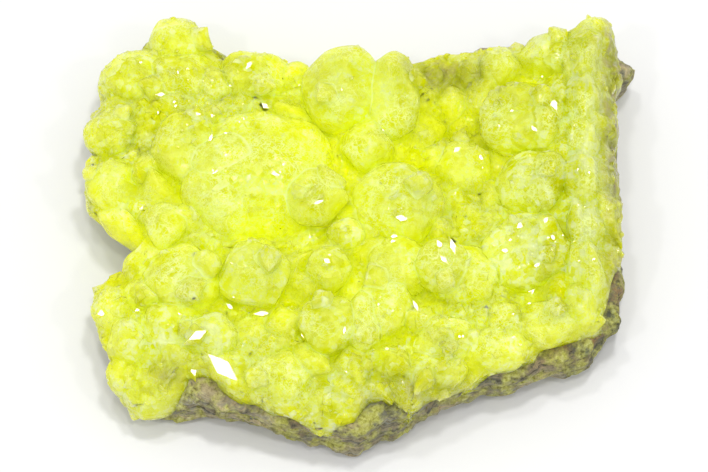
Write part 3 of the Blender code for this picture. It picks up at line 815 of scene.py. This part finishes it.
def small_crystal_weights(crust, crystals, tops, low, middles, ways):
    """How likely a small crystal stands on each face: the face's area times the crowding, which is higher
    on the bed, in hollows, where the crust is sugary and on faces that look up, and none on the ridge and
    at the foot."""
    owner = facet_marks(middles, crystals)[0]
    large = np.array([crystal[3] == SHARP_LARGE for crystal in crystals])[owner]
    crowding = np.where(owner < 0, CROWDING[0], np.where(large, CROWDING[2], CROWDING[1]))
    deep = hollow_depth(middles, tops, low, SMALL_REACH)
    crowding = crowding * (0.3 + np.clip(deep, 0, 3) * 0.4) + sugariness(middles)
    crowding = crowding * (1 - ridge_share(middles)) * np.clip(ways[:, 2] * 1.6 + 0.15, 0, 1)
    return face_values(crust.data, "area", 1) * crowding * (middles[:, 2] > SMALL_LOWEST)


def small_crystals(crust, crystals, tops, low):
    """Small crystals on the crust: each is the stubby shape, stretched a little, stood on a face drawn by
    its weight, and leaning at random from the surface there. Most are near the smallest radius."""
    middles, ways = face_values(crust.data, "center", 3) / MM, face_values(crust.data, "normal", 3)
    weight = small_crystal_weights(crust, crystals, tops, low, middles, ways)
    draw = np.random.default_rng(GROWTH_SEED)
    site = draw.choice(len(weight), SMALL_COUNT, p=weight / weight.sum())
    smallest, largest = SMALL_RADIUS
    radius = smallest * (largest / smallest) ** (draw.random(SMALL_COUNT) ** 2.0)
    radius = radius * (0.45 + 0.55 * np.clip(ways[site, 2] * 1.5, 0, 1))
    lean = draw.normal(size=(2, SMALL_COUNT, 3))
    along = lengthened(ways[site] * SMALL_LEAN[0] + lean[0] * SMALL_LEAN[1])
    across = lengthened(np.cross(along, lean[1]))
    turn = np.stack([across, np.cross(along, across), along], axis=-1)
    stretch = 1 + draw.uniform(*SMALL_STRETCH, (SMALL_COUNT, 1, 1, 3))
    shape = stubby_rings() * stretch * radius[:, None, None, None]
    middle = middles[site] - ways[site] * radius[:, None] * SMALL_SUNK
    places = (np.einsum("nij,nrcj->nrci", turn, shape) + middle[:, None, None]) * MM
    rings, around = shape.shape[1:3]
    ends = [np.arange(around)[::-1], np.arange(around) + (rings - 1) * around]
    quads = np.concatenate([grid_faces(rings, around), ends]).tolist()
    made = []
    for number, corners in enumerate(places.reshape(SMALL_COUNT, -1, 3)):
        mesh = bpy.data.meshes.new(f"small_{number}")
        mesh.from_pydata(corners, [], quads)
        set_marks(mesh, {"own": np.full(len(quads), 0.1 + 0.9 * draw.random())}, "FACE")
        made.append(bpy.data.objects.new(mesh.name, mesh))
    return made


# ---------------------------------------------------------------- the rock


def layer_height(places):
    """How many layers up a place is: its height over the layer's thickness, bent by slow noise."""
    bend = noise(places * [1, 1, 0.3], 14, 31) * 1.6
    return places[..., 2] / LAYER + bend + noise(places, 5, 32) * 0.35


def host_rock():
    """The broken slab: a section swept round its outline, moved by slow steps, by layers that stand out
    or fall back by a random amount each, by blocks and by grain, then by the moves of its edge, and worn
    lower at one corner. Its marks are the layers, the rusty places, and the darker places, which are
    partly painted shade of the contact shadow at the front right."""
    inward = np.linspace(1, 0, 40)[1:]
    profile = rounded_profile(0, ROCK_TOP, 3.0, 2.0, np.linspace(0, 1, 6)[:-1], ROCK_MESH, inward)
    rings = slab_rings(ROCK_OUTLINE, profile, ROCK_MESH)
    outward = lengthened(rings * [1, 1, 0])
    steps = np.stack([noise(rings, 11, 10 * axis) for axis in (1, 2, 3)], axis=-1) * STEP_MOVES
    height = layer_height(rings)
    layer = np.floor(height)
    stands = hashed(np.stack([layer.astype(int)] * 3, axis=-1), 4) - 0.5
    bulge = np.sqrt(np.clip(1 - (2 * (height - layer) - 1) ** 2, 0, 1))
    blocks = np.round(noise(rings, BLOCK_SIZE, 77) * 2) / 2
    grain = rough(rings, GRAIN_SIZE, 21, 4)
    out = stands * LAYER_STANDS + bulge * LAYER_BULGE + blocks * BLOCK_STANDS + grain * GRAIN_STANDS
    rings = rings + steps + outward * (out - ROCK_INSET)[..., None]
    rings[..., 2] -= rings[..., 2].min()
    places = moved_along(rings.reshape(-1, 3), ROCK_MOVES)
    places[:, 2] *= 1 - bells(places, ROCK_LOW)
    rings = places.reshape(rings.shape)
    rock = thinned(closed_mesh("host_rock", rings))
    rock.name = "host_rock"
    places = vertex_places(rock.data)
    under = np.clip((places[:, 2] - ROCK_TOP) / 2 + 2, 0, 1)
    set_marks(rock.data, {
        "layer": layer_height(places),
        "rust": np.clip(bells(places, RUST), 0, 1) * under,
        # darker places, partly painted shade of the contact shadow
        "dark_and_shaded": np.clip(bells(places, DARK_AND_SHADED), 0, 1),
    })
    smooth_with_creases(rock, CREASE["rock"])
    return rock


# ---------------------------------------------------------------- finishes


def linear(hex_colour):
    """A colour from its sRGB hex digits, turned linear."""
    parts = [int(hex_colour[place : place + 2], 16) / 255 for place in (0, 2, 4)]
    return [part / 12.92 if part <= 0.04045 else ((part + 0.055) / 1.055) ** 2.4 for part in parts] + [1]


def node(tree, kind, settings=None, **links):
    """Adds a node, sets what settings name (a property, or an input by name or number) and links inputs:
    a link's name is the input's, with _ for a space, or _ and its number."""
    made = tree.nodes.new("ShaderNode" + kind)
    for name, value in (settings or {}).items():
        if isinstance(name, str) and hasattr(made, name):
            setattr(made, name, value)
        else:
            made.inputs[name].default_value = value
    for name, source in links.items():
        key = int(name[1:]) if name[0] == "_" else name.replace("_", " ")
        tree.links.new(getattr(source, "outputs", [source])[0], made.inputs[key])
    return made


def ramp(tree, source, *stops):
    """A colour ramp through stops of (position, sRGB hex colour)."""
    made = node(tree, "ValToRGB", Fac=source)
    elements = made.color_ramp.elements
    while len(elements) < len(stops):
        elements.new(0.5)
    for element, (position, colour) in zip(elements, stops):
        element.position = position
        element.color = linear(colour)
    return made


def new_finish(name):
    """An empty node material with its output, as (material, tree, shader)."""
    made = bpy.data.materials.new(name)
    made.use_nodes = True
    tree = made.node_tree
    tree.nodes.clear()
    shader = node(tree, "BsdfPrincipled")
    node(tree, "OutputMaterial", Surface=shader)
    return made, tree, shader


def per_metre(size):
    """A texture's scale for features of this size in mm."""
    return 1 / (size * MM)


def mixed(tree, factor, first, second, blend="MIX"):
    """A colour between two, each a socket or an sRGB hex colour. The factor is a socket or a number."""
    made = node(tree, "Mix", {"data_type": "RGBA", "blend_type": blend})
    for place, source in ((0, factor), (6, first), (7, second)):
        if isinstance(source, bpy.types.NodeSocket):
            tree.links.new(source, made.inputs[place])
        else:
            made.inputs[place].default_value = linear(source) if isinstance(source, str) else source
    return made.outputs[2]


def noisy(tree, where, size, detail, roughness=0.5):
    """Noise with features of this size in mm, as a number from 0 to 1."""
    settings = {"Scale": per_metre(size), "Detail": detail, "Roughness": roughness}
    return node(tree, "TexNoise", settings, Vector=where).outputs[0]


def ranged(tree, source, low, high, to_low=0.0, to_high=1.0):
    """A number carried from one range to another, and kept inside it."""
    return node(tree, "MapRange", {1: low, 2: high, 3: to_low, 4: to_high}, Value=source).outputs[0]


def read_mark(tree, name):
    """A number that the mesh holds for each vertex or face."""
    return node(tree, "Attribute", {"attribute_name": name}).outputs["Fac"]


def native_sulfur():
    """Native sulfur grown from vapour: lemon yellow and translucent, with a very high index. Clean faces
    flash like glass, etched ones are paler and satin, and edges are pale. Hollows are painted a deeper
    yellow as shade and a brighter body colour as glow, and the tops that stand out are painted darker."""
    made, tree, shader = new_finish("native_sulfur")
    names = "hollow basin sugar tint frost edge level own tone thin contact lump ridge"
    mark = {name: read_mark(tree, name) for name in names.split()}
    where = node(tree, "TexCoord").outputs["Object"]

    def calculate(operation, first, second=0.0, third=0.0, clamp=False):
        """A Math node on sockets or numbers."""
        settings, links = {"operation": operation, "use_clamp": clamp}, {}
        for place, value in enumerate((first, second, third)):
            if isinstance(value, bpy.types.NodeSocket):
                links[f"_{place}"] = value
            else:
                settings[place] = value
        return node(tree, "Math", settings, **links).outputs[0]

    times, plus, minus = (partial(calculate, kind) for kind in ("MULTIPLY", "ADD", "SUBTRACT"))
    larger = partial(calculate, "MAXIMUM")
    scaled = partial(calculate, "MULTIPLY_ADD")  # of a value, a factor, and what is added

    broad = noisy(tree, where, 7, 3.0)
    mottle = noisy(tree, where, 1.8, 5.0, 0.65)
    fine = noisy(tree, where, 0.45, 4.0, 0.7)
    cells = [node(tree, "TexVoronoi", {"Scale": per_metre(size)}, Vector=where) for size in (3.2, 1.1)]
    parts = [node(tree, "SeparateColor", {}, Color=cell.outputs["Color"]) for cell in cells]
    cell_tone = [part.outputs[2] for part in parts]

    small = calculate("GREATER_THAN", mark["own"], 0.05)
    tint = node(tree, "Mix", {}, Factor=small, _2=mark["tint"], _3=mark["own"]).outputs[0]
    turned_frost = calculate("FRACT", times(mark["own"], 37.0))
    frost = node(tree, "Mix", {}, Factor=small, _2=mark["frost"], _3=turned_frost).outputs[0]

    # How deep the yellow is: deeper in hollows, where it is painted shade, and in some crystals, mottled, and
    # each little face its own
    depth = 0.68
    painted_hollow_shade = ranged(tree, mark["hollow"], 0.1, 1.4)
    striped = node(tree, "VectorMath", {"operation": "MULTIPLY", 1: (1.0, 0.07, 0.25)}, _0=where)
    stripe = times(minus(noisy(tree, striped, 0.9, 3.0, 0.6), 0.5), mark["ridge"])
    grainy = times(mark["sugar"], minus(plus(fine, cell_tone[1]), 1.0))
    for source, amount, middle in (
        (stripe, 1.6, 0.0), (grainy, 0.9, 0.0), (mark["hollow"], 0.05, 0.0), (painted_hollow_shade, 0.22, 0.0),
        (mark["lump"], -0.2, 0.5), (mark["tone"], 1.0, 0.0), (broad, 1.1, 0.5), (mottle, 1.5, 0.5),
        (fine, 0.9, 0.5), (tint, 0.3, 0.5), (cell_tone[0], 0.5, 0.5), (cell_tone[1], 0.45, 0.5),
    ):
        depth = scaled(source, amount, minus(depth, amount * middle))
    yellows = ((0.0, "E2EC96"), (0.25, "E1EB60"), (0.5, "DFE92C"), (0.75, "DDE400"), (1.0, "D7DD00"))
    body = ramp(tree, depth, *yellows).outputs[0]

    # Painted light: the body colour is made brighter in hollows and wide basins and darker where the crust
    # stands out, lifting the shade of the hollows and taking off the light on the tops; the ridge is a little
    # darker, and fine noise varies it at random
    painted_glow_and_tone = ranged(tree, mark["hollow"], -2.0, 2.0, 0.82, 1.15)
    wide = ranged(tree, mark["basin"], -3.0, 3.0, 0.9, 1.1)
    painted_glow_and_tone = times(painted_glow_and_tone, times(wide, scaled(mark["ridge"], -0.1, 1.0)))
    painted_glow_and_tone = times(painted_glow_and_tone, ranged(tree, fine, 0.3, 0.7, 0.93, 1.05))
    body = node(tree, "VectorMath", {"operation": "SCALE"}, _0=body, Scale=painted_glow_and_tone).outputs[0]

    # Etched faces and the edges of facets are frosted, and thin pale veils run through the clear parts
    etched = scaled(frost, 1.5, -0.8)
    etched = plus(etched, scaled(fine, 1.8, -1.0), clamp=True)
    rim = times(mark["edge"], scaled(mottle, 1.8, -0.35))
    etched = larger(etched, rim, clamp=True)
    dull = calculate("LESS_THAN", mark["own"], 1.5)  # every face but the flat ones that flash
    etched = times(etched, dull)
    veil = 0.0
    for size, width, seed in ((3.5, 0.022, 0.0), (1.6, 0.03, 5.0), (0.9, 0.035, 9.0)):
        settings = {"noise_dimensions": "4D", "Scale": per_metre(size), "Detail": 2.0, "W": seed}
        bent = node(tree, "TexNoise", settings, Vector=where)
        away = calculate("ABSOLUTE", minus(bent.outputs[0], 0.5))
        line = minus(1.0, calculate("DIVIDE", away, width), clamp=True)
        veil = larger(veil, line)
    veil = times(veil, scaled(broad, 4.0, -1.45, clamp=True))
    # A pale line runs round each crystal where it meets the next, partly the pale boundary between crystals
    # and partly painted light that lifts the shade of the crease there, and growth lines follow it further in
    line = minus(1.0, calculate("DIVIDE", mark["contact"], 0.38), clamp=True)
    step = calculate("FRACT", scaled(mottle, 1.4, times(mark["contact"], 1.05)))
    away = calculate("ABSOLUTE", minus(step, 0.5))
    arc = minus(1.0, calculate("DIVIDE", away, 0.09), clamp=True)
    inner = ranged(tree, mark["contact"], 4.0, 1.0)
    arc = times(times(arc, inner), scaled(broad, 4.0, -1.6, clamp=True))
    line = times(larger(line, times(arc, 0.8)), 0.75)
    line = times(line, minus(1.0, mark["ridge"]))
    whitened = larger(times(etched, 0.3), times(veil, 0.7))
    # Hollows are kept less pale, part of their painted shade
    whitened = times(larger(whitened, line), scaled(painted_hollow_shade, -0.75, 1.0))
    pale = mixed(tree, whitened, body, "E6F2B0")
    thin = times(mark["thin"], scaled(mottle, 2.6, -0.4, clamp=True))
    bare = scaled(noisy(tree, where, 3.0, 3.0, 0.6), 6.0, -2.9, clamp=True)
    olive = mixed(tree, times(thin, 0.9), pale, mixed(tree, bare, "8C8E26", "94866A"))

    speck = node(tree, "TexVoronoi", {"Scale": per_metre(7)}, Vector=where)
    dark = calculate("LESS_THAN", scaled(fine, 0.16, speck.outputs["Distance"]), 0.09)
    tree.links.new(mixed(tree, dark, olive, "3C3A1C"), shader.inputs["Base Color"])

    gloss = scaled(etched, 0.36, 0.05)
    tree.links.new(scaled(mottle, 0.05, gloss), shader.inputs["Roughness"])

    # Flat little faces each tilted its own way: the height is the cell's random vector . (place - cell's
    # middle)
    height = times(calculate("SINE", times(mark["level"], 90.0)), 0.000018)
    for cell, tallness in zip(cells, (0.40, 0.60)):
        away = node(tree, "VectorMath", {"operation": "SUBTRACT"}, _0=where, _1=cell.outputs["Position"])
        settings = {"operation": "SUBTRACT", 1: (0.5, 0.5, 0.5)}
        tilt = node(tree, "VectorMath", settings, _0=cell.outputs["Color"])
        plane = node(tree, "VectorMath", {"operation": "DOT_PRODUCT"}, _0=away, _1=tilt).outputs["Value"]
        part = times(plane, scaled(mark["sugar"], tallness, tallness * 0.6))
        height = plus(height, part)
    height = plus(height, times(fine, scaled(etched, 0.00016, 0.00002)))
    bump = node(tree, "Bump", {"Strength": 1.0, "Distance": 1.0}, Height=times(height, dull))
    tree.links.new(bump.outputs[0], shader.inputs["Normal"])

    shader.inputs["IOR"].default_value = 1.85
    shader.inputs["Specular IOR Level"].default_value = 0.12
    shader.inputs["Subsurface Weight"].default_value = 1.0
    shader.inputs["Subsurface Radius"].default_value = (1.0, 1.0, 0.25)
    shader.inputs["Subsurface Scale"].default_value = 0.009
    return made


def altered_rock():
    """Altered volcanic rock, broken open: dull, grey-brown in thin tan layers, rusty in places and darker in
    others, which is partly painted shade of the contact shadow, with olive sulfur stain in its pores and a
    few glassy grains."""
    made, tree, shader = new_finish("altered_rock")
    where = node(tree, "TexCoord").outputs["Object"]
    layer = read_mark(tree, "layer")
    settings = {"noise_dimensions": "1D", "Scale": 1.3, "Detail": 2.0, "Roughness": 0.6}
    band = node(tree, "TexNoise", settings, W=layer)
    bands = (
        (0.28, "6C685A"), (0.42, "A5A48F"), (0.5, "D8C8A0"), (0.56, "9F9E88"), (0.66, "D0D0BE"), (0.76, "BCA67E"),
    )
    banded = ramp(tree, band, *bands)
    grain = noisy(tree, where, 0.9, 6.0, 0.75)
    patch = noisy(tree, where, 5, 3.0)
    light = ranged(tree, patch, 0.35, 0.65, 0.5, 1.15)
    colour = node(tree, "VectorMath", {"operation": "SCALE"}, _0=banded, Scale=light).outputs[0]
    # Rust, and darker patches that are partly painted shade of the contact shadow
    for name, tint, spots in (("rust", "B98E45", grain), ("dark_and_shaded", "50564C", patch)):
        spread = ranged(tree, spots, 0.4, 0.56)
        share = node(tree, "Math", {"operation": "MULTIPLY"}, _0=read_mark(tree, name), _1=spread)
        colour = mixed(tree, share.outputs[0], colour, tint)
    shade = ramp(tree, grain, (0.3, "4A4436"), (0.4, "BDB7A6"), (0.52, "ECE9E0"), (0.7, "FFFFFF"))
    colour = mixed(tree, 0.85, colour, shade.outputs[0], "MULTIPLY")
    stained = ranged(tree, noisy(tree, where, 3.2, 6.0, 0.65), 0.44, 0.6, 0.0, 0.9)
    stain = ramp(tree, grain, (0.35, "7C7828"), (0.5, "BEBE54"), (0.65, "DCE08E")).outputs[0]
    tree.links.new(mixed(tree, stained, colour, stain), shader.inputs["Base Color"])
    tree.links.new(ranged(tree, grain, 0.3, 0.75, 0.95, 0.3), shader.inputs["Roughness"])
    bump = node(tree, "Bump", {"Strength": 1.0, "Distance": 0.0007}, Height=grain)
    tree.links.new(bump.outputs[0], shader.inputs["Normal"])
    return made


# ---------------------------------------------------------------- floor, light and camera


def toward(azimuth, elevation):
    """A unit vector to a place seen from the origin: azimuth 0 is the front, 90 the right side."""
    a, e = math.radians(azimuth), math.radians(elevation)
    return Vector((math.sin(a) * math.cos(e), -math.cos(a) * math.cos(e), math.sin(e)))


def set_camera():
    """A long lens looking down on the specimen from its front edge."""
    lens = bpy.data.cameras.new("camera")
    lens.lens = lens.sensor_width * CAMERA_DISTANCE / FRAME_WIDTH
    lens.clip_end = 10
    camera = bpy.data.objects.new("camera", lens)
    bpy.context.scene.collection.objects.link(camera)
    view = toward(0, CAMERA_ELEVATION)
    frame_up = toward(180, 90 - CAMERA_ELEVATION)
    camera.location = view * CAMERA_DISTANCE + frame_up * AIM_LIFT
    camera.rotation_euler = view.to_track_quat("Z", "Y").to_euler()
    bpy.context.scene.camera = camera


def softbox(name, azimuth, elevation, distance, size, power):
    """A square area light facing the specimen."""
    light = bpy.data.lights.new(name, "AREA")
    light.energy = power
    light.size = size
    holder = bpy.data.objects.new(name, light)
    bpy.context.scene.collection.objects.link(holder)
    way = toward(azimuth, elevation)
    holder.location = way * distance
    holder.rotation_euler = way.to_track_quat("Z", "Y").to_euler()


def set_light():
    """A white tent, a window light behind on the right that throws the shadow forward, and small lamps
    around."""
    world = bpy.data.worlds.new("tent")
    bpy.context.scene.world = world
    world.use_nodes = True
    background = world.node_tree.nodes["Background"]
    background.inputs["Color"].default_value = (1, 1, 1, 1)
    background.inputs["Strength"].default_value = TENT_STRENGTH
    softbox("window", *WINDOW)
    for lamp in LAMPS:
        softbox(*lamp)
    bpy.context.scene.view_settings.view_transform = "Standard"


def set_floor():
    """A plain white table top."""
    mesh = bpy.data.meshes.new("floor")
    half = FLOOR_HALF
    corners = [(-half, -half, 0), (half, -half, 0), (half, half, 0), (-half, half, 0)]
    mesh.from_pydata(corners, [], [(0, 1, 2, 3)])
    floor = bpy.data.objects.new("floor", mesh)
    bpy.context.scene.collection.objects.link(floor)
    made, tree, shader = new_finish("white_table")
    shader.inputs["Base Color"].default_value = linear("E2E2E2")
    shader.inputs["Roughness"].default_value = 0.9
    mesh.materials.append(made)


def place(piece, finish, slot, *nodes):
    """Gives a finished piece its material and its place in the frame, and hides the nodes that it stands
    for."""
    if piece.name not in bpy.context.scene.collection.objects:
        bpy.context.scene.collection.objects.link(piece)
    piece.data.materials.clear()
    piece.data.materials.append(finish)
    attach(piece, "root")
    if nodes:
        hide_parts(*nodes)


sulfur = native_sulfur()
crystals = main_crystals()
place(sulfur_crust(crystals), sulfur, "sulfur", "sulfur_crystals")
place(host_rock(), altered_rock(), "matrix_rock", "matrix_rock")
set_floor()
set_light()
set_camera()

bpy.context.view_layer.update()
